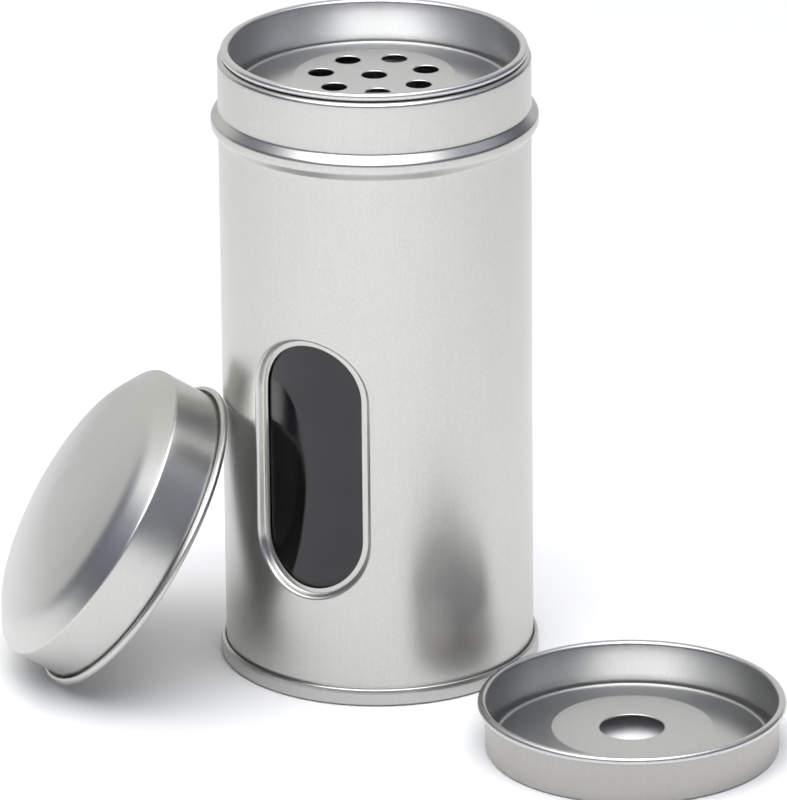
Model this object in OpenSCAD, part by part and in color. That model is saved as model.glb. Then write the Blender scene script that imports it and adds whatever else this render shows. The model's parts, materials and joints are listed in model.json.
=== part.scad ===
// Spice tin with a stepped window, a sifter insert, a spare pour insert and a domed slip lid.
// The tin stands on its base seam at z = 0, with its axis on Z and its window facing -Y.
// The lid leans on the tin and the pour insert lies beside it, both resting on z = 0.

/* [Tin] */
// Outside diameter of the rolled body wall
body_d = 55; // [50:0.5:60]
// Height of the neck's rolled edge above the table
body_h = 111.95; // [108:0.05:130]
// Height of the middle of the bead that stops the lid
bead_z = 100.3; // [96:0.1:101]
// How far the bead stands out of the wall
bead_out = 1.3; // [0.8:0.1:1.6]
// Height of the double seam round the base
seam_h = 3.1; // [2.8:0.1:3.6]

/* [Window] */
// Width of the pressed outline round the window
window_w = 22.3; // [16:0.1:26]
// Height of the pressed outline round the window
window_h = 48.2; // [36:0.1:60]
// Height of the window's middle above the table
window_z = 43.35; // [40:0.05:50]
// How far the ledge round the opening is pressed in
ledge_depth = 1.45; // [0.5:0.05:1.5]
// Width of the ledge between the pressed outline and the opening
ledge_w = 1.4; // [1.4:0.05:2.6]

/* [Inserts] */
// Height of both inserts, from the foot to the top of the rolled rim
insert_h = 9.05; // [8.5:0.05:10.5]
// Diameter of one shaker hole in the sifter
shaker_hole_d = 4.4; // [2:0.1:5]
// Radius of the ring of shaker holes
shaker_ring_r = 9.45; // [8:0.05:10.5]
// Number of shaker holes in the ring
shaker_ring_n = 7; // [5:1:8]
// Turn of the first ring hole from +X, in degrees
shaker_turn = 43.4; // [0:0.2:72]
// Diameter of the hole in the pour insert
pour_hole_d = 11.2; // [6:0.1:18]

/* [Lid] */
// Gap all round between the tin's neck and the lid's skirt
lid_slack = 0.4; // [0.2:0.05:0.5]
// Height of the shoulder above the lid's rim
lid_shoulder_h = 10.15; // [9:0.05:11]
// Height of the top of the dome above the lid's rim
lid_h = 15.9; // [15.5:0.1:18]

/* [Resting places] */
// Lean of the lid's open face from upright, in degrees
lid_lean = 33.5; // [25:0.5:45]
// Direction from the tin to the leaning lid, in degrees from +X
lid_turn = 217.2; // [200:0.2:235]
// Distance of the loose pour insert from the tin's axis
pour_away = 64.1; // [62:0.1:90]
// Direction from the tin to the pour insert, in degrees from +X
pour_turn = -20; // [-60:0.2:20]

/* [Hidden] */

tin = 0.25;                         // thickness of the tinplate
air = 0.05;                         // gap between folded or fitted layers
eps = 0.01;                         // overlap or slack too small to see
smooth = 96;

body_r = body_d / 2;
wall_r = body_r - tin / 2;          // middle of the metal in the body wall
wall_in = body_r - tin;
layer = tin + air;                  // pitch of the folded layers in the seam
seam_wall_r = wall_r + 3 * layer;   // middle of the metal in the seam's outer wall

ledge_in = body_r - ledge_depth - tin;
glue_out = ledge_in - 0.03;
glue_in = glue_out - 0.12;
pane_out = glue_in - 0.03;
pane_in = pane_out - 0.25;
pane_lap = 0.9;                     // reach of the pane past the pressed outline

insert_wall_r = body_r - 1.85;      // outside of an insert's cup wall
insert_rim_r = body_r - 0.6;        // outside of an insert's rolled rim
rim_drop = 1.4;                     // height of an insert's rolled rim
panel_r = 14;                       // raised middle of an insert's floor
panel_z = 3.6;                      // top of that middle above the foot
seat_gap = 0.15;                    // air under a rim that rests on the neck
sifter_z = body_h + seat_gap + rim_drop - insert_h;

lid_wall_r = body_r + lid_slack + tin / 2;
lid_bead = 1.3;                     // thickness of the lid's rolled rim
lid_rim_r = lid_wall_r + 1.62;      // outside of the lid's rolled rim
lean_gap = 0.15;                    // air between the leaning lid and the wall

// A bent sheet is given by the middle of its metal, corner by corner: [radius, height, bend radius].
// Its two ends are [radius, height].
function unit(v) = v / norm(v);
function left(v) = [-v[1], v[0]];
function spot(p) = [p[0], p[1]];
function turning(u, v) = atan2(u[0] * v[1] - u[1] * v[0], u * v);
function arc_steps(bend, angle) = max(3, ceil(abs(angle) / 15), ceil(bend * abs(angle) / 170));

// One face of the sheet round corner b. side is 1 for the face on the left and -1 for the right.
function corner(a, b, c, side) =
    let (u = unit(spot(b) - spot(a)), v = unit(spot(c) - spot(b)), angle = turning(u, v),
         hand = sign(angle), middle = spot(b) + b[2] * (left(u) * hand - u * tan(abs(angle) / 2)),
         outward = left(u) * -hand, from = atan2(outward[1], outward[0]),
         r = b[2] - hand * side * tin / 2, n = arc_steps(b[2], angle))
    [for (k = [0:n]) middle + r * [cos(from + angle * k / n), sin(from + angle * k / n)]];

function face(path, side) =
    let (last = len(path) - 1,
         start = unit(spot(path[1]) - spot(path[0])),
         end = unit(spot(path[last]) - spot(path[last - 1])))
    [spot(path[0]) + left(start) * side * tin / 2,
     for (i = [1:last - 1]) each corner(path[i - 1], path[i], path[i + 1], side),
     spot(path[last]) + left(end) * side * tin / 2];

function backwards(list) = [for (i = [len(list) - 1:-1:0]) list[i]];

module spun_sheet(path) {
    rotate_extrude($fn = smooth) polygon(concat(face(path, 1), backwards(face(path, -1))));
}

module tube(outer, inner, low, high) {
    translate([0, 0, low]) difference() {
        cylinder(high - low, r = outer, $fn = smooth);
        translate([0, 0, -1]) cylinder(high - low + 2, r = inner, $fn = smooth);
    }
}

// Upright slot with round ends, wide w less 2 * inset, reaching out through the front of the tin.
module slot_bar(inset) {
    w = window_w - 2 * inset;
    h = window_h - 2 * inset;
    translate([0, 0, window_z]) rotate([90, 0, 0]) linear_extrude(body_d) {
        square([w, h - w], center = true);
        for (s = [-1, 1]) translate([0, s * (h - w) / 2]) circle(w / 2, $fn = smooth);
    }
}

// The part of a tube that shows through the slot.
module tube_patch(outer, inner, inset) {
    intersection() {
        tube(outer, inner, window_z - window_h / 2 - 2, window_z + window_h / 2 + 2);
        slot_bar(inset);
    }
}

// The same, less what shows through a smaller slot.
module tube_frame(outer, inner, inset, hole_inset) {
    difference() {
        tube_patch(outer, inner, inset);
        slot_bar(hole_inset);
    }
}

module shell_wall() {
    hook_r = wall_r + 2 * layer;
    hook_z = tin / 2 + layer;
    bead_r = wall_r + bead_out;
    edge_z = body_h - tin / 2;
    lip_r = insert_wall_r + seat_gap + tin / 2;
    lip_bend = (wall_r - lip_r) / 2 - eps;
    spun_sheet([
        [hook_r, seam_h - 0.85],
        [hook_r, hook_z, 0.28],
        [wall_r, hook_z, 0.28],
        [wall_r, bead_z - 2.3, 0.9],
        [bead_r, bead_z - 0.75, 0.9],
        [bead_r, bead_z + 0.75, 0.9],
        [wall_r, bead_z + 2.3, 0.9],
        [wall_r, edge_z, lip_bend],
        [lip_r, edge_z, lip_bend],
        [lip_r, edge_z - 2.2]
    ]);
}

// The lapped edges of the rolled wall, down the back of the tin.
module side_seam() {
    lap_w = 5;
    intersection() {
        tube(wall_in + eps, wall_in - tin, seam_h + 2, bead_z - 3);
        translate([-lap_w / 2, 0, 0]) cube([lap_w, body_d, body_h]);
    }
}

module body_shell() {
    color("silver") union() {
        difference() {
            shell_wall();
            slot_bar(0);
        }
        tube_frame(body_r - eps, ledge_in + air, -air, tin);
        tube_frame(ledge_in + tin, ledge_in, tin / 2, ledge_w);
        side_seam();
    }
}

module base_plate() {
    chuck_r = wall_r - layer;
    hook_r = wall_r + layer;
    panel = seam_h + 0.6;
    step = 0.8;
    lean_z = seam_h - 0.85;
    lean = 0.14;
    color("silver") spun_sheet([
        [0, panel],
        [chuck_r - 4, panel, 0.6],
        [chuck_r - 3.2, panel - step, 0.6],
        [chuck_r, panel - step, 0.45],
        [chuck_r, tin / 2, 0.25],
        [seam_wall_r, tin / 2, 0.45],
        [seam_wall_r, lean_z, 0.8],
        [seam_wall_r - lean, seam_h - tin / 2, 0.22],
        [hook_r, seam_h - tin / 2, 0.22],
        [hook_r, 1]
    ]);
}

module base_seam_compound() {
    color("dimgray") tube(seam_wall_r - tin / 2 - 0.16, wall_r + layer + tin / 2 + air,
                          seam_h - 0.8, seam_h - 0.46);
}

module window_pane() {
    color("lightgray") tube_patch(pane_out, pane_in, -pane_lap);
}

module window_adhesive() {
    color("ivory") tube_frame(glue_out, glue_in, 0.3, ledge_w - 0.4);
}

// Both inserts are one pressed cup: rolled rim, wall, foot groove, crest, cone and raised panel.
// The wall draws in a little where it goes up inside the rim.
module insert_cup(inner_r) {
    wall = insert_wall_r - tin / 2;
    neck_in = 0.15;
    neck_z = insert_h - rim_drop - 0.25;
    rim = insert_rim_r - tin / 2;
    groove = wall - 1.075;
    crest_z = 1.85;
    valley_z = 1.3;
    panel = panel_z - tin / 2;
    spun_sheet([
        [wall + 0.55, insert_h - rim_drop + tin / 2],
        [rim, insert_h - rim_drop + tin / 2, 0.45],
        [rim, insert_h - tin / 2, 0.6],
        [wall - neck_in, insert_h - tin / 2, 0.6],
        [wall, neck_z, 2],
        [wall, tin / 2, 0.53],
        [groove, tin / 2, 0.53],
        [groove, crest_z, 0.35],
        [groove - 0.85, valley_z, 0.6],
        [panel_r, panel, 1],
        [inner_r, panel]
    ]);
}

module sifter_insert() {
    color("gainsboro") translate([0, 0, sifter_z]) difference() {
        insert_cup(0);
        cylinder(insert_h, d = shaker_hole_d, $fn = smooth);
        for (k = [0:shaker_ring_n - 1])
            rotate(shaker_turn + k * 360 / shaker_ring_n) translate([shaker_ring_r, 0, 0])
                cylinder(insert_h, d = shaker_hole_d, $fn = smooth);
    }
}

module pour_insert() {
    color("gainsboro")
        translate([pour_away * cos(pour_turn), pour_away * sin(pour_turn), 0])
            insert_cup(pour_hole_d / 2);
}

module lid_shape() {
    rim = lid_rim_r - tin / 2;
    roll = (lid_bead - tin) / 2;
    chamfer_w = 4.2;
    chamfer_tilt = 35.6;
    chamfer_r = lid_wall_r - chamfer_w;
    chamfer_z = lid_shoulder_h + chamfer_w * tan(chamfer_tilt);
    dome_edge_bend = 8;
    top = lid_h - tin / 2;
    dome_slope = atan2(top - chamfer_z, chamfer_r / 2);
    dome_arc = 0.4;
    spun_sheet([
        [rim - 0.75, lid_bead - tin / 2],
        [rim, lid_bead - tin / 2, roll - eps],
        [rim, tin / 2, roll - eps],
        [lid_wall_r, tin / 2, 0.6],
        [lid_wall_r, lid_shoulder_h, 1.2],
        [chamfer_r, chamfer_z, dome_edge_bend],
        [chamfer_r / 2, top, dome_arc * chamfer_r / tan(dome_slope / 2)],
        [0, top]
    ]);
}

module domed_lid() {
    roll_r = lid_bead / 2;
    ring_r = lid_rim_r - roll_r;
    away = body_r + lean_gap + roll_r + ring_r * sin(lid_lean);
    up = ring_r * cos(lid_lean) + roll_r + eps;
    color("silver") translate([away * cos(lid_turn), away * sin(lid_turn), up])
        rotate([0, 90 - lid_lean, lid_turn]) translate([0, 0, -roll_r]) lid_shape();
}

body_shell();
base_plate();
base_seam_compound();
window_pane();
window_adhesive();
sifter_insert();
pour_insert();
domed_lid();
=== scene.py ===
import json
import math

import bmesh
import bpy
from mathutils import Matrix, Quaternion, Vector
from mathutils.geometry import delaunay_2d_cdt


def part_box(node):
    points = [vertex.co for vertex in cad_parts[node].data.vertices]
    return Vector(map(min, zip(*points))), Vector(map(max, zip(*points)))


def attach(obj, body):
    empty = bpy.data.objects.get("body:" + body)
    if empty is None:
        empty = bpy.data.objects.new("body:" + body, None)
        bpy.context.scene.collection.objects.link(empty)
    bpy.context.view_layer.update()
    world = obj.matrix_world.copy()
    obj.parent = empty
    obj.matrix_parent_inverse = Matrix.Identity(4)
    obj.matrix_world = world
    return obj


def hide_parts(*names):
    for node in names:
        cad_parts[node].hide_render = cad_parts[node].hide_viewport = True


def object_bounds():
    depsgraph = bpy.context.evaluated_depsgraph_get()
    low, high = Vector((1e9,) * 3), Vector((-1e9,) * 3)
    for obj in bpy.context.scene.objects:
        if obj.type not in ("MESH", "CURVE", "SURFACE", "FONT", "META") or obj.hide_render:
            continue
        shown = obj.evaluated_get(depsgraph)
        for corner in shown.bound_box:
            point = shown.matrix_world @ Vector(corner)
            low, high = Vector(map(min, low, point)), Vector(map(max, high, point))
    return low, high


# Looks of a spice tin: a rolled tinplate body with a pressed window, a sifter insert in its neck,
# a pour insert beside it and a domed slip lid leaning on it. Sizes here are in millimetres, and
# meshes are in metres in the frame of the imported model.

MM = 0.001
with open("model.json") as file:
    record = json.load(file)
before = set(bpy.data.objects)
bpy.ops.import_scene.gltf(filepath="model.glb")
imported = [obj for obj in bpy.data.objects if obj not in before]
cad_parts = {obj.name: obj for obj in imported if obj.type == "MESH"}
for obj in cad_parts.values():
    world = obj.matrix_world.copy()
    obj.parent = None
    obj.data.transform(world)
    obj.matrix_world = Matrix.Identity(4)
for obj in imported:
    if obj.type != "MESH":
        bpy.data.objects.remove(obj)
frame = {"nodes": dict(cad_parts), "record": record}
cad_low, cad_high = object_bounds()
mounts = {mount["name"]: mount for mount in frame["record"]["mounts"]}

# Sheet metal and its folds. SLACK keeps two bends on one corner line apart, and INSIDE keeps a
# round edge within the CAD's box.
TIN = 0.25
AIR = 0.05
LAYER = TIN + AIR
SLACK = 0.01
INSIDE = 0.02

# The tin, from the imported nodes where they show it.
BODY_R = mounts["neck"]["dims"]["r_mm"]
WALL_R = BODY_R - TIN / 2
BODY_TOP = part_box("body_shell")[1].z / MM
INSERT_WALL_R = mounts["pour_plug"]["dims"]["r_mm"]

# The bead that stops the lid. From its middle height, the corners of its crest are BEAD_CREST away
# and those of its foot BEAD_FOOT.
BEAD_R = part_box("body_shell")[1].x / MM - INSIDE - TIN / 2
BEAD_Z = 100.3
BEAD_CREST = 0.75
BEAD_FOOT = 2.3
BEAD_BEND = 0.9

# The mouth, rolled inward round the insert.
MOUTH_GAP = 0.15
MOUTH_DEPTH = 2.2

# The double seam round the base, and the recessed base panel inside it.
SEAM_H = 3.1
SEAM_CURL = 0.85
HOOK_BEND = 0.28
SEAM_BEND = 0.45
SEAM_SHOULDER = 0.8
SEAM_LEAN = 0.14
SEAM_FOLD = 0.22
BASE_RISE = 0.6
BASE_STEP = 0.8
BASE_EDGE = 3.2

# The lapped side seam down the back. The wall's edge lies LAP_OFFSET to one side of the middle, and
# shows as a groove.
LAP_W = 5.0
LAP_OFFSET = 2.6
LAP_GROOVE = 0.05

# The pressed window, which faces -Y.
PANE_LOW, PANE_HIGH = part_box("window_pane")
PANE_LAP = 0.9
WINDOW_W = (PANE_HIGH.x - PANE_LOW.x) / MM - 2 * PANE_LAP
WINDOW_H = (PANE_HIGH.z - PANE_LOW.z) / MM - 2 * PANE_LAP
WINDOW_Z = (PANE_HIGH.z + PANE_LOW.z) / 2 / MM
LEDGE_DEPTH = 1.45
LEDGE_W = 1.4
LEDGE_LEAN = 0.3
LEDGE_MOUTH = 1.4
LEDGE_MARGIN = 4.5
PANE_R = -PANE_LOW.y / MM - TIN / 2
PANE_SLACK = 0.02
PANE_WAVE = 0.015

# The inserts: a rolled rim, the cup's foot, a low crest, a valley, and the raised panel.
INSERT_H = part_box("pour_insert")[1].z / MM
INSERT_RIM_R = (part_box("sifter_insert")[1].x / MM) - TIN / 2
RIM_DROP = 1.4
RIM_TUCK = 0.55
FOOT_W = 1.075
FOOT_BEND = 0.53
CREST_Z = 1.85
VALLEY_Z = 1.3
VALLEY_W = 0.85
PANEL_R = 14
PANEL_Z = 3.6 - TIN / 2
PANEL_BEND = 1
SHAKER_R = 2.2
SHAKER_RING_R = 9.45
SHAKER_RING_N = 7
SHAKER_TURN = math.radians(43.4)
POUR_HOLE_R = 5.6

# The lid.
LID_WALL_R = mounts["lid_socket"]["dims"]["r_mm"] + TIN / 2
LID_RIM_PROUD = 1.55
LID_RIM_R = LID_WALL_R + LID_RIM_PROUD - TIN / 2
LID_BEAD = 1.3
LID_TUCK = 0.75
LID_FOOT_BEND = 0.6
LID_SHOULDER_H = 10.15
LID_SHOULDER_BEND = 0.5
LID_CHAMFER_W = 4.2
LID_CHAMFER_TILT = math.radians(35.6)
LID_CHAMFER_R = LID_WALL_R - LID_CHAMFER_W
LID_CHAMFER_Z = LID_SHOULDER_H + LID_CHAMFER_W * math.tan(LID_CHAMFER_TILT)
LID_TOP = 15.9 - TIN / 2
DOME_EDGE_BEND = 8
DOME_ARC = 0.4
SOCKET_MID = 5.2

# Mesh fineness: columns round a part, steps round a bend and the longest straight step.
COLUMNS = 240
BEND_STEP = math.radians(9)
LONGEST = 1.6
HOLE_STEPS = 48
SHARP = math.radians(42)
CUT_EDGE = math.radians(55)


# ---------------------------------------------------------------- sheet metal

def turn_of(u, v):
    """Signed angle from direction u to direction v."""
    return math.atan2(u.x * v.y - u.y * v.x, u.dot(v))


def round_corner(before, corner, after, radius):
    """Points along the bend at corner, from the side of before to the side of after."""
    u = (corner - before).normalized()
    v = (after - corner).normalized()
    angle = turn_of(u, v)
    hand = math.copysign(1, angle)
    side = Vector((-u.y, u.x)) * hand
    start = corner - u * radius * math.tan(abs(angle) / 2)
    middle = start + side * radius
    steps = max(4, math.ceil(abs(angle) / BEND_STEP))
    arm = start - middle
    return [middle + Matrix.Rotation(angle * k / steps, 2) @ arm for k in range(steps + 1)]


def bent(path):
    """The middle of a bent sheet. Corners are (radius, height, bend), and the ends have no bend."""
    spots = [Vector(p[:2]) for p in path]
    line = [spots[0]]
    for before, corner, after, given in zip(spots, spots[1:], spots[2:], path[1:]):
        line += round_corner(before, corner, after, given[2])
    line.append(spots[-1])
    return line


def filled(line, longest=LONGEST):
    """The same line with its long straight steps divided."""
    result = [line[0]]
    for a, b in zip(line, line[1:]):
        steps = max(1, math.ceil((b - a).length / longest))
        result += [a.lerp(b, k / steps) for k in range(1, steps + 1)]
    return result


def even_angles(count=COLUMNS):
    """Angles all the way round, from the front."""
    return [-math.pi / 2 + 2 * math.pi * k / count for k in range(count)]


def ring(surface, radius, height, angles):
    """A ring of vertices, or one vertex where the radius is nothing."""
    if radius < 1e-6:
        return [surface.verts.new((0, 0, height * MM))]
    return [
        surface.verts.new((radius * math.cos(a) * MM, radius * math.sin(a) * MM, height * MM))
        for a in angles
    ]


def bridge(surface, one, other, skip=()):
    """Faces between two rings. skip holds the columns left open."""
    count = max(len(one), len(other))
    for k in range(count):
        if k in skip:
            continue
        near = [one[k % len(one)], one[(k + 1) % len(one)]]
        far = [other[(k + 1) % len(other)], other[k % len(other)]]
        corners = list(dict.fromkeys(near + far))
        surface.faces.new(corners)


def spun(surface, line, angles):
    """A surface of revolution of the line."""
    rings = [ring(surface, p.x, p.y, angles) for p in line]
    for one, other in zip(rings, rings[1:]):
        bridge(surface, one, other)


def thickened(name, surface, thickness=TIN, edge=0.05):
    """An object from a middle surface: solid sheet with softened cut edges and smooth faces."""
    bmesh.ops.remove_doubles(surface, verts=surface.verts, dist=1e-7)
    bmesh.ops.recalc_face_normals(surface, faces=surface.faces)
    mesh = bpy.data.meshes.new(name)
    surface.to_mesh(mesh)
    surface.free()
    piece = bpy.data.objects.new(name, mesh)
    bpy.context.scene.collection.objects.link(piece)
    solid = piece.modifiers.new("sheet", "SOLIDIFY")
    solid.thickness = thickness * MM
    solid.offset = 0
    solid.use_even_offset = True
    soft = piece.modifiers.new("cut_edges", "BEVEL")
    soft.width = edge * MM
    soft.segments = 2
    soft.limit_method = "ANGLE"
    soft.angle_limit = CUT_EDGE
    bpy.context.view_layer.update()
    seen = piece.evaluated_get(bpy.context.evaluated_depsgraph_get())
    final = bpy.data.meshes.new_from_object(seen)
    piece.modifiers.clear()
    piece.data = final
    final.name = name
    final.polygons.foreach_set("use_smooth", [True] * len(final.polygons))
    final.set_sharp_from_angle(angle=SHARP)
    return piece


def settle(piece, body, node, material, place=Matrix.Identity(4)):
    """Puts a piece in place, gives it its material, ties it to its body and hides its CAD node."""
    piece.data.transform(place)
    piece.data.materials.clear()
    piece.data.materials.append(material)
    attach(piece, body)
    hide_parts(node)
    return piece


# ---------------------------------------------------------------- the tin

def body_line():
    """The middle of the body's metal, from the hook in the base seam to the lip in the neck."""
    hook_r = WALL_R + 2 * LAYER
    hook_z = TIN / 2 + LAYER
    edge_z = BODY_TOP - TIN / 2
    lip_r = INSERT_WALL_R + MOUTH_GAP + TIN / 2
    lip_bend = (WALL_R - lip_r) / 2 - SLACK
    return filled(bent([
        (hook_r, SEAM_H - SEAM_CURL),
        (hook_r, hook_z, HOOK_BEND),
        (WALL_R, hook_z, HOOK_BEND),
        (WALL_R, BEAD_Z - BEAD_FOOT, BEAD_BEND),
        (BEAD_R, BEAD_Z - BEAD_CREST, BEAD_BEND),
        (BEAD_R, BEAD_Z + BEAD_CREST, BEAD_BEND),
        (WALL_R, BEAD_Z + BEAD_FOOT, BEAD_BEND),
        (WALL_R, edge_z, lip_bend),
        (lip_r, edge_z, lip_bend),
        (lip_r, edge_z - MOUTH_DEPTH),
    ]))


def front_point(across, height, depth=0.0):
    """A point on the body wall, across from the window's middle line as seen from the front."""
    turn = math.asin(across / BODY_R)
    radius = WALL_R + depth
    return Vector((radius * math.sin(turn), -radius * math.cos(turn), height)) * MM


def outline_point(across, height, inset):
    """The nearest point of the window's outline, drawn in by inset, seen from the front."""
    straight = (WINDOW_H - WINDOW_W) / 2
    anchor = Vector((0, max(-straight, min(straight, height - WINDOW_Z)) + WINDOW_Z))
    away = (Vector((across, height)) - anchor).normalized()
    return anchor + away * (WINDOW_W / 2 - inset)


def window_opening(surface, line, rings, angles):
    """Presses the window's ledge into the wall, inside a block of the wall's columns and rows."""
    reach = math.asin((WINDOW_W / 2 + LEDGE_MARGIN) / BODY_R)
    half = sum(1 for a in angles if 0 < a + math.pi / 2 <= reach)
    rows = [i for i, p in enumerate(line) if abs(p.x - WALL_R) < 1e-6]
    rows = [i for i in rows if abs(line[i].y - WINDOW_Z) < WINDOW_H / 2 + LEDGE_MARGIN]
    columns = [k % len(angles) for k in range(-half, half + 1)]
    for i in rows[:-1]:
        bridge(surface, rings[i], rings[i + 1], skip=set(columns[:-1]))
    loop = [rings[rows[0]][k] for k in columns]
    loop += [rings[i][columns[-1]] for i in rows[1:]]
    loop += [rings[rows[-1]][k] for k in reversed(columns[:-1])]
    loop += [rings[i][columns[0]] for i in reversed(rows[1:-1])]
    starts = []
    for v in loop:
        turn = math.atan2(v.co.x, -v.co.y)
        starts.append((BODY_R * math.sin(turn), v.co.z / MM))
    pressed = bent([
        (-LEDGE_MOUTH, 0),
        (0, 0, 0.5),
        (LEDGE_LEAN, -LEDGE_DEPTH, 0.4),
        (LEDGE_W, -LEDGE_DEPTH),
    ])
    previous = loop
    for share in (0.3, 0.55, 0.8):
        current = []
        for across, height in starts:
            target = outline_point(across, height, pressed[0].x)
            spot = Vector((across, height)).lerp(target, share)
            current.append(surface.verts.new(front_point(spot.x, spot.y)))
        bridge(surface, previous, current)
        previous = current
    for inset, depth in filled(pressed, 0.5):
        current = []
        for across, height in starts:
            spot = outline_point(across, height, inset)
            current.append(surface.verts.new(front_point(spot.x, spot.y, depth)))
        bridge(surface, previous, current)
        previous = current
    return rows[0], rows[-1]


def side_seam(surface):
    """The lapped edge of the rolled wall, inside the back of the tin."""
    radius = BODY_R - TIN - TIN / 2 + 0.01
    low, high = SEAM_H + 2, BEAD_Z - 3
    steps = 8
    columns = []
    for k in range(steps + 1):
        turn = (k / steps - 0.5) * LAP_W / radius
        x, y = radius * math.sin(turn), radius * math.cos(turn)
        columns.append([surface.verts.new(Vector((x, y, z)) * MM) for z in (low, high)])
    for one, other in zip(columns, columns[1:]):
        surface.faces.new([one[0], one[1], other[1], other[0]])


def tin_wall(material):
    """The rolled wall with its bead, mouth, window ledge and lap. Narrow columns hold the groove."""
    surface = bmesh.new()
    line = body_line()
    lap = math.pi / 2 + LAP_OFFSET / BODY_R
    fine = [lap + math.radians(d) for d in (-0.5, -0.14, 0, 0.14, 0.5)]
    angles = [a for a in even_angles() if min(abs(a - f) for f in fine) > math.radians(0.6)]
    angles = sorted(angles + fine, key=lambda a: (a + math.pi / 2) % (2 * math.pi))
    rings = [ring(surface, p.x, p.y, angles) for p in line]
    groove = angles.index(lap)
    for p, verts in zip(line, rings):
        if SEAM_H + 1 < p.y < BODY_TOP - 1 and p.x > WALL_R - 0.01:
            verts[groove].co.xy *= 1 - LAP_GROOVE / BODY_R
    first, last = window_opening(surface, line, rings, angles)
    for i in list(range(first)) + list(range(last, len(rings) - 1)):
        bridge(surface, rings[i], rings[i + 1])
    side_seam(surface)
    piece = thickened("tin_wall", surface)
    return settle(piece, "tin", "body_shell", material)


def tin_base(material):
    """The recessed base, with the double seam folded over the body's hook."""
    chuck_r = WALL_R - LAYER
    hook_r = WALL_R + LAYER
    seam_r = WALL_R + 3 * LAYER
    panel = SEAM_H + BASE_RISE
    ledge = panel - BASE_STEP
    surface = bmesh.new()
    spun(surface, filled(bent([
        (0, panel),
        (chuck_r - BASE_EDGE - BASE_STEP, panel, 0.6),
        (chuck_r - BASE_EDGE, ledge, 0.6),
        (chuck_r, ledge, SEAM_BEND),
        (chuck_r, TIN / 2, 0.25),
        (seam_r, TIN / 2, SEAM_BEND),
        (seam_r, SEAM_H - SEAM_CURL, SEAM_SHOULDER),
        (seam_r - SEAM_LEAN, SEAM_H - TIN / 2, SEAM_FOLD),
        (hook_r, SEAM_H - TIN / 2, SEAM_FOLD),
        (hook_r, 1),
    ]), 3), even_angles())
    return settle(thickened("tin_base", surface), "tin", "base_plate", material)


def window_film(material):
    """The clear pane, held behind the ledge. It follows the wall and is very slightly wavy."""
    surface = bmesh.new()
    rows, columns = 60, 30
    straight = (WINDOW_H - WINDOW_W) / 2
    radius = WINDOW_W / 2 + PANE_LAP - PANE_SLACK
    grid = []
    for i in range(rows + 1):
        height = (2 * i / rows - 1) * (straight + radius)
        over = max(0.0, abs(height) - straight)
        half = math.sqrt(max(radius ** 2 - over ** 2, 0.0004))
        line = []
        for k in range(columns + 1):
            across = half * (2 * k / columns - 1)
            turn = math.asin(across / PANE_R)
            wave = PANE_WAVE * math.sin(height * 0.21 + across * 0.3) * math.cos(across * 0.2)
            r = PANE_R - PANE_SLACK + wave
            spot = Vector((r * math.sin(turn), -r * math.cos(turn), WINDOW_Z + height))
            line.append(surface.verts.new(spot * MM))
        grid.append(line)
    for one, other in zip(grid, grid[1:]):
        for a, b, c, d in zip(one, one[1:], other[1:], other):
            surface.faces.new([a, b, c, d])
    piece = thickened("window_film", surface, TIN - 2 * PANE_SLACK, 0.03)
    return settle(piece, "tin", "window_pane", material)


# ---------------------------------------------------------------- the inserts and the lid

def cup_line(inner_r):
    """Middle of an insert's metal: rolled rim, cup wall, foot groove, step and raised panel."""
    wall = INSERT_WALL_R - TIN / 2
    groove = wall - FOOT_W
    under_rim = INSERT_H - RIM_DROP + TIN / 2
    top = INSERT_H - TIN / 2
    return filled(bent([
        (wall + RIM_TUCK, under_rim),
        (INSERT_RIM_R, under_rim, 0.45),
        (INSERT_RIM_R, top, 0.6),
        (wall, top, 0.6),
        (wall, TIN / 2, FOOT_BEND),
        (groove, TIN / 2, FOOT_BEND),
        (groove, CREST_Z, 0.35),
        (groove - VALLEY_W, VALLEY_Z, 0.6),
        (PANEL_R, PANEL_Z, PANEL_BEND),
        (inner_r, PANEL_Z),
    ]))


def hole_lip(radius):
    """Rings of a punched hole, each a radius and a height: the sheet turns down at its edge."""
    edge = radius + TIN / 2
    return [
        (edge + 0.5, 0.0),
        (edge + 0.22, 0.0),
        (edge + 0.1, -0.025),
        (edge + 0.02, -0.09),
        (edge, -0.17),
    ]


def punched_panel(surface, outer_r, holes):
    """A flat panel that fills a ring, with its round holes turned down at their edges."""
    rim = [(outer_r * math.cos(a), outer_r * math.sin(a)) for a in even_angles()]
    spots = [Vector(p) for p in rim]
    edges = [(k, (k + 1) % len(rim)) for k in range(len(rim))]
    mouths = [(x, y, hole_lip(radius)[0][0]) for x, y, radius in holes]
    for x, y, mouth in mouths:
        first = len(spots)
        angles = even_angles(HOLE_STEPS)
        spots += [Vector((x + mouth * math.cos(a), y + mouth * math.sin(a))) for a in angles]
        edges += [(first + k, first + (k + 1) % HOLE_STEPS) for k in range(HOLE_STEPS)]
    points, _, triangles, _, _, _ = delaunay_2d_cdt(spots, edges, [], 0, 1e-7)
    verts = [surface.verts.new(Vector((p.x, p.y, PANEL_Z)) * MM) for p in points]
    for triangle in triangles:
        centre = sum((points[i] for i in triangle), Vector((0, 0))) / 3
        if all(math.dist(centre, (x, y)) > mouth * 0.999 for x, y, mouth in mouths):
            surface.faces.new([verts[i] for i in triangle])
    for x, y, radius in holes:
        previous = None
        for lip_r, lift in hole_lip(radius):
            current = []
            for a in even_angles(HOLE_STEPS):
                spot = Vector((x + lip_r * math.cos(a), y + lip_r * math.sin(a), PANEL_Z + lift))
                current.append(surface.verts.new(spot * MM))
            if previous:
                bridge(surface, previous, current)
            previous = current


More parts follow.
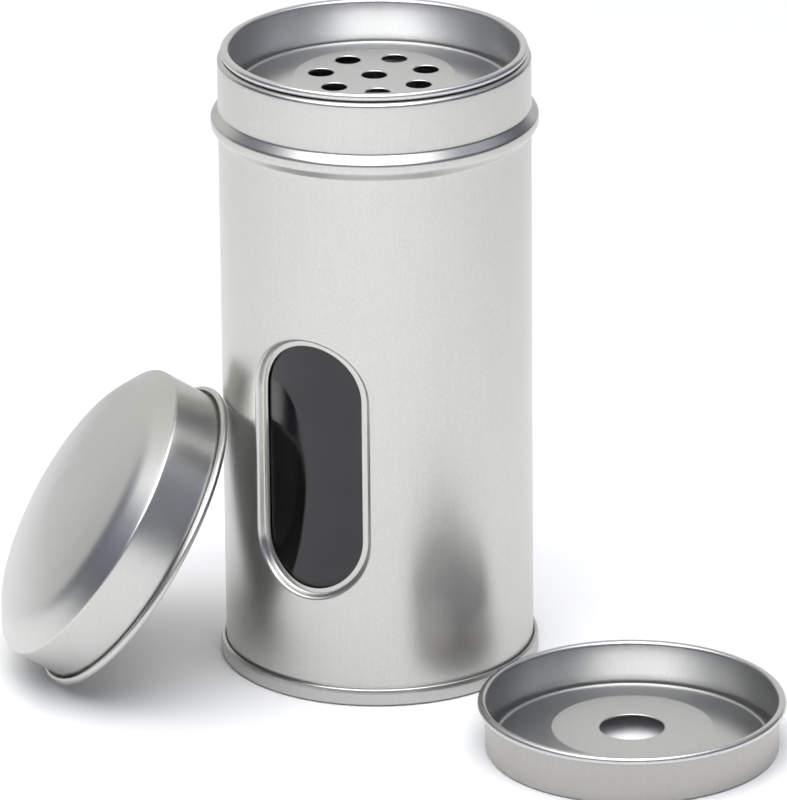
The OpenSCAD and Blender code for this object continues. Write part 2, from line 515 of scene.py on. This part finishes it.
def insert(name, body, node, material, holes, place):
    """A cup insert. holes are (x, y, radius) in its panel."""
    surface = bmesh.new()
    edge_r = PANEL_R - PANEL_BEND
    spun(surface, cup_line(edge_r), even_angles())
    punched_panel(surface, edge_r, holes)
    return settle(thickened(name, surface), body, node, material, place)


def sifter(material):
    """The insert in the neck, with one hole in the middle and a ring of holes round it."""
    holes = [(0, 0, SHAKER_R)]
    for k in range(SHAKER_RING_N):
        turn = SHAKER_TURN + 2 * math.pi * k / SHAKER_RING_N
        holes.append((SHAKER_RING_R * math.cos(turn), SHAKER_RING_R * math.sin(turn), SHAKER_R))
    place = Matrix.Translation((0, 0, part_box("sifter_insert")[0].z))
    return insert("sifter", "sifter", "sifter_insert", material, holes, place)


def pour_disc(material, painted_shade):
    """The loose insert. The outside of its wall is darker and a little rougher; the darker tone is
    painted shade, standing in for the shadowed floor it reflects.
    """
    low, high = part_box("pour_insert")
    centre = Vector(((low.x + high.x) / 2, (low.y + high.y) / 2, low.z))
    holes = [(0, 0, POUR_HOLE_R)]
    piece = insert("pour_disc", "pour", "pour_insert", material, holes,
                   Matrix.Translation(centre))
    # Painted shade: the outer wall below the rim gets the darker tinplate.
    piece.data.materials.append(painted_shade)
    outside = (INSERT_WALL_R - 0.1) * MM
    top = low.z + (INSERT_H - RIM_DROP) * MM
    for face in piece.data.polygons:
        if (face.center - centre).xy.length > outside and face.center.z < top:
            face.material_index = 1
    return piece


def slip_lid(material):
    """The lid, leaning as its mount says. Its dome is one arc up to a flat middle."""
    roll = (LID_BEAD - TIN) / 2 - SLACK
    dome_slope = math.atan2(LID_TOP - LID_CHAMFER_Z, LID_CHAMFER_R / 2)
    dome_bend = DOME_ARC * LID_CHAMFER_R / math.tan(dome_slope / 2)
    surface = bmesh.new()
    spun(surface, filled(bent([
        (LID_RIM_R - LID_TUCK, LID_BEAD - TIN / 2),
        (LID_RIM_R, LID_BEAD - TIN / 2, roll),
        (LID_RIM_R, TIN / 2, roll),
        (LID_WALL_R, TIN / 2, LID_FOOT_BEND),
        (LID_WALL_R, LID_SHOULDER_H, LID_SHOULDER_BEND),
        (LID_CHAMFER_R, LID_CHAMFER_Z, DOME_EDGE_BEND),
        (LID_CHAMFER_R / 2, LID_TOP, dome_bend),
        (0, LID_TOP),
    ]), 1.2), even_angles())
    socket = mounts["lid_socket"]
    axis = -Vector(socket["axis"])
    origin = Vector(socket["pos_m"]) - axis * SOCKET_MID * MM
    place = Matrix.Translation(origin) @ axis.to_track_quat("Z", "Y").to_matrix().to_4x4()
    return settle(thickened("slip_lid", surface), "lid", "domed_lid", material, place)


# ---------------------------------------------------------------- materials

def add(tree, kind, inputs=(), **settings):
    """A node with its settings and the values or links of its inputs."""
    made = tree.nodes.new(kind)
    for name, value in settings.items():
        setattr(made, name, value)
    for name, value in dict(inputs).items():
        if isinstance(value, bpy.types.NodeSocket):
            tree.links.new(value, made.inputs[name])
        else:
            made.inputs[name].default_value = value
    return made


def blank(name):
    """An empty material: its tree and its shader."""
    material = bpy.data.materials.new(name)
    material.use_nodes = True
    tree = material.node_tree
    tree.nodes.clear()
    shader = add(tree, "ShaderNodeBsdfPrincipled")
    output = add(tree, "ShaderNodeOutputMaterial")
    tree.links.new(shader.outputs[0], output.inputs["Surface"])
    return material, tree, shader


def noise(tree, spot, scale, detail=2.0, roughness=0.5):
    """Noise from 0 to 1. scale is in features a metre."""
    made = add(tree, "ShaderNodeTexNoise", {
        "Vector": spot, "Scale": scale, "Detail": detail, "Roughness": roughness,
    })
    return made.outputs["Fac"]


def stretched(tree, spot, scale):
    """The same place with its axes scaled."""
    return add(tree, "ShaderNodeMapping", {"Vector": spot, "Scale": scale}).outputs[0]


def ranged(tree, value, low, high, to_low, to_high):
    """value moved from one range into another, and held to it."""
    return add(tree, "ShaderNodeMapRange", {
        "Value": value, "From Min": low, "From Max": high, "To Min": to_low, "To Max": to_high,
    }).outputs[0]


def maths(tree, operation, one, other=0.0):
    """One sum of numbers or links."""
    made = add(tree, "ShaderNodeMath", operation=operation)
    for socket, value in zip(made.inputs, (one, other)):
        if isinstance(value, bpy.types.NodeSocket):
            tree.links.new(value, socket)
        else:
            socket.default_value = value
    return made.outputs[0]


def along(tree, spot, direction):
    """How far spot lies along a direction."""
    made = add(tree, "ShaderNodeVectorMath", operation="DOT_PRODUCT")
    tree.links.new(spot, made.inputs[0])
    made.inputs[1].default_value = direction
    return made.outputs["Value"]


def mixed(tree, factor, one, other):
    """A colour between one and other."""
    made = add(tree, "ShaderNodeMix", data_type="RGBA")
    for index, value in ((0, factor), (6, one), (7, other)):
        if isinstance(value, bpy.types.NodeSocket):
            tree.links.new(value, made.inputs[index])
        else:
            made.inputs[index].default_value = value
    return made.outputs[2]


def bumped(tree, height, distance, below=None):
    """A surface normal raised by height over distance, on top of the normal below."""
    inputs = {"Height": height, "Distance": distance * MM, "Strength": 1.0}
    if below is not None:
        inputs["Normal"] = below
    return add(tree, "ShaderNodeBump", inputs).outputs[0]


def tinplate(name, light, dark, rough, streak=0.0006):
    """Satin tinplate: fine rolled grain, streaks along the sheet, soft smudges and faint dents."""
    material, tree, shader = blank(name)
    spot = add(tree, "ShaderNodeTexCoord").outputs["Object"]
    grain = noise(tree, spot, 3200, 2.0)
    streaks = noise(tree, stretched(tree, spot, (1, 1, 0.05)), 2200, 2.0)
    smudges = noise(tree, spot, 60, 4.0, 0.6)
    dents = noise(tree, spot, 38, 1.0)
    share = maths(tree, "MULTIPLY", grain, 0.6)
    fine = maths(tree, "ADD", share, maths(tree, "MULTIPLY", streaks, 0.15))
    tone = maths(tree, "ADD", fine, maths(tree, "MULTIPLY", smudges, 0.25))
    tone = ranged(tree, tone, 0.35, 0.65, 0.0, 1.0)
    tree.links.new(mixed(tree, tone, (*dark, 1), (*light, 1)), shader.inputs["Base Color"])
    gloss = ranged(tree, smudges, 0.3, 0.7, rough - 0.02, rough + 0.02)
    gloss = maths(tree, "ADD", gloss, maths(tree, "MULTIPLY", fine, 0.05))
    tree.links.new(gloss, shader.inputs["Roughness"])
    normal = bumped(tree, dents, 0.02)
    normal = bumped(tree, streaks, streak, normal)
    normal = bumped(tree, grain, 0.0004, normal)
    tree.links.new(normal, shader.inputs["Normal"])
    shader.inputs["Metallic"].default_value = 1.0
    return material


def clear_film():
    """Clear plastic with a slight smoke tint and a faint haze."""
    material, tree, shader = blank("clear_film")
    spot = add(tree, "ShaderNodeTexCoord").outputs["Object"]
    haze = noise(tree, spot, 90, 3.0)
    tint = mixed(tree, haze, (0.36, 0.365, 0.39, 1), (0.42, 0.425, 0.45, 1))
    tree.links.new(tint, shader.inputs["Base Color"])
    tree.links.new(ranged(tree, haze, 0.3, 0.7, 0.02, 0.04), shader.inputs["Roughness"])
    shader.inputs["IOR"].default_value = 1.45
    shader.inputs["Transmission Weight"].default_value = 1.0
    return material


def matt(name, light, dark, rough, scale, height):
    """A dull material with a mottled tone and a fine uneven surface."""
    material, tree, shader = blank(name)
    spot = add(tree, "ShaderNodeTexCoord").outputs["Object"]
    mottle = noise(tree, spot, scale, 4.0, 0.6)
    tone = ranged(tree, mottle, 0.35, 0.65, 0.0, 1.0)
    tree.links.new(mixed(tree, tone, (*dark, 1), (*light, 1)), shader.inputs["Base Color"])
    gloss = ranged(tree, mottle, 0.3, 0.7, rough - 0.08, rough + 0.08)
    tree.links.new(gloss, shader.inputs["Roughness"])
    tree.links.new(bumped(tree, noise(tree, spot, scale * 3, 2.0), height), shader.inputs["Normal"])
    return material


def repaint(node, material):
    """Gives a CAD node that stays in view its own material."""
    for held in frame["nodes"][node].material_slots:
        held.material = material


# ---------------------------------------------------------------- the studio

# The camera's aim and distance are in millimetres, and its turn goes round from the front.
CAMERA_AIM = Vector((2.513, 1.275, 47.0))
CAMERA_TURN = math.radians(26.885)
CAMERA_RISE = math.radians(20.947)
CAMERA_AWAY = 1509.1
CAMERA_ROLL = math.radians(0.547)
CAMERA_LENS = 382.6


def from_camera(across, away, up):
    """A point or direction given across, away and up as the camera's view has them."""
    side = Vector((math.cos(CAMERA_TURN), math.sin(CAMERA_TURN), 0))
    ahead = Vector((-math.sin(CAMERA_TURN), math.cos(CAMERA_TURN), 0))
    return side * across + ahead * away + Vector((0, 0, up))


def camera():
    """The camera, at CAMERA_AWAY from its aim."""
    data = bpy.data.cameras.new("camera")
    data.lens = CAMERA_LENS
    data.sensor_width = 36
    data.clip_start = 0.05
    data.clip_end = 50
    made = bpy.data.objects.new("camera", data)
    bpy.context.scene.collection.objects.link(made)
    back = from_camera(0, -math.cos(CAMERA_RISE), math.sin(CAMERA_RISE))
    made.location = (CAMERA_AIM + back * CAMERA_AWAY) * MM
    made.rotation_mode = "QUATERNION"
    level = (-back).to_track_quat("-Z", "Y")
    made.rotation_quaternion = level @ Quaternion((0, 0, 1), -CAMERA_ROLL)
    bpy.context.scene.camera = made


def floor():
    """A pale round table, far wider than the view."""
    paper = matt("floor_paper", (0.85, 0.85, 0.85), (0.83, 0.83, 0.83), 0.85, 12, 0.001)
    surface = bmesh.new()
    bmesh.ops.create_circle(surface, cap_ends=True, segments=96, radius=8)
    mesh = bpy.data.meshes.new("floor")
    surface.to_mesh(mesh)
    surface.free()
    made = bpy.data.objects.new("floor", mesh)
    made.location.z = cad_low.z - 0.0001
    bpy.context.scene.collection.objects.link(made)
    mesh.materials.append(paper)


def softbox(name, spot, target, size, power, colour, shine=True):
    """A soft rectangular lamp at spot that faces target."""
    data = bpy.data.lights.new(name, "AREA")
    data.shape = "RECTANGLE"
    data.size, data.size_y = size
    data.energy = power
    data.color = colour
    made = bpy.data.objects.new(name, data)
    made.location = spot
    made.rotation_mode = "QUATERNION"
    facing = (target - spot).to_track_quat("-Z", "Y")
    made.rotation_quaternion = facing @ Quaternion((0, 0, 1), CAMERA_TURN)
    made.visible_camera = False
    made.visible_glossy = shine
    bpy.context.scene.collection.objects.link(made)


def room():
    """A dim cool room: a white backdrop behind, a glow and a dark card on the right, and a bright
    corner at the upper left."""
    world = bpy.data.worlds.new("room")
    bpy.context.scene.world = world
    world.use_nodes = True
    tree = world.node_tree
    tree.nodes.clear()
    way = add(tree, "ShaderNodeTexCoord").outputs["Generated"]
    rise = add(tree, "ShaderNodeSeparateXYZ", {"Vector": way}).outputs["Z"]
    rightward = along(tree, way, from_camera(1, 0, 0))
    onward = along(tree, way, from_camera(0, 1, 0))
    turn = maths(tree, "ARCTAN2", rightward, onward)

    def near(angle, full, none):
        """1 within full of an angle round the room, and 0 from none on."""
        off = maths(tree, "ABSOLUTE", maths(tree, "SUBTRACT", turn, angle))
        return ranged(tree, off, full, none, 1.0, 0.0)

    def below(full, none):
        """1 up to the height full, and 0 from none up."""
        return ranged(tree, rise, full, none, 1.0, 0.0)

    def above(none, full):
        """0 up to the height none, and 1 from full up."""
        return ranged(tree, rise, none, full, 0.0, 1.0)

    colour = mixed(tree, above(0.1, 0.5), (0.11, 0.12, 0.145, 1), (0.19, 0.21, 0.28, 1))
    card = maths(tree, "MULTIPLY", near(1.5, 0.4, 0.6), below(0.3, 0.45))
    colour = mixed(tree, card, colour, (0.05, 0.05, 0.055, 1))
    glow = maths(tree, "MULTIPLY", near(1.45, 0.2, 0.45), above(0.42, 0.55))
    colour = mixed(tree, glow, colour, (0.62, 0.66, 0.74, 1))
    backdrop = maths(tree, "MULTIPLY", near(-0.17, 0.82, 0.93), below(0.7, 0.9))
    colour = mixed(tree, backdrop, colour, (0.86, 0.86, 0.84, 1))
    corner = maths(tree, "MULTIPLY", near(-0.95, 0.25, 0.55), above(0.6, 0.72))
    colour = mixed(tree, corner, colour, (0.95, 0.94, 0.92, 1))
    sky = add(tree, "ShaderNodeBackground", {"Color": colour, "Strength": 1.0})
    output = add(tree, "ShaderNodeOutputWorld")
    tree.links.new(sky.outputs[0], output.inputs["Surface"])


def studio():
    """A big softbox overhead with a brighter core, and a warm fill from behind."""
    bpy.context.scene.view_settings.view_transform = "Standard"
    camera()
    floor()
    room()
    white = (1.0, 1.0, 1.0)
    down = Vector((0, 0, -1))
    over = from_camera(-0.12, -0.56, 0.95)
    softbox("over", over, over + down, (1.6, 1.36), 12.0, white)
    core = over + down * 0.02
    softbox("core", core, core + down, (1.05, 0.9), 6.0, white)
    fill = from_camera(0, 0.7, 1.5)
    softbox("fill", fill, Vector((0, 0, 0)), (2.0, 1.6), 10, (1.0, 0.98, 0.94), shine=False)


# ---------------------------------------------------------------- the object

def pieces():
    """Every piece in its material, which is light and dark tones and a roughness."""
    tin_wall(tinplate("body_tinplate", (0.585, 0.58, 0.553), (0.51, 0.505, 0.48), 0.28))
    tin_base(tinplate("base_tinplate", (0.52, 0.515, 0.50), (0.46, 0.455, 0.44), 0.28))
    window_film(clear_film())
    drawn = 0.003
    bright = tinplate("sifter_tinplate", (0.65, 0.65, 0.645), (0.59, 0.59, 0.585), 0.30, drawn)
    sifter(bright)
    # A darker, slightly rougher copy of the pour insert's tinplate, as painted shade on its outer
    # wall.
    painted_shade = tinplate("painted_shade_tinplate", (0.44, 0.43, 0.41), (0.385, 0.375, 0.357), 0.33)
    satin = tinplate("pour_tinplate", (0.60, 0.60, 0.59), (0.54, 0.54, 0.53), 0.30, drawn)
    pour_disc(satin, painted_shade)
    slip_lid(tinplate("lid_tinplate", (0.585, 0.585, 0.56), (0.52, 0.52, 0.50), 0.30))
    lining = matt("lining", (0.34, 0.34, 0.33), (0.26, 0.26, 0.25), 0.7, 900, 0.01)
    repaint("base_seam_compound", lining)
    glue = matt("glue", (0.86, 0.84, 0.77), (0.78, 0.76, 0.68), 0.5, 700, 0.008)
    repaint("window_adhesive", glue)


def main():
    pieces()
    studio()


main()
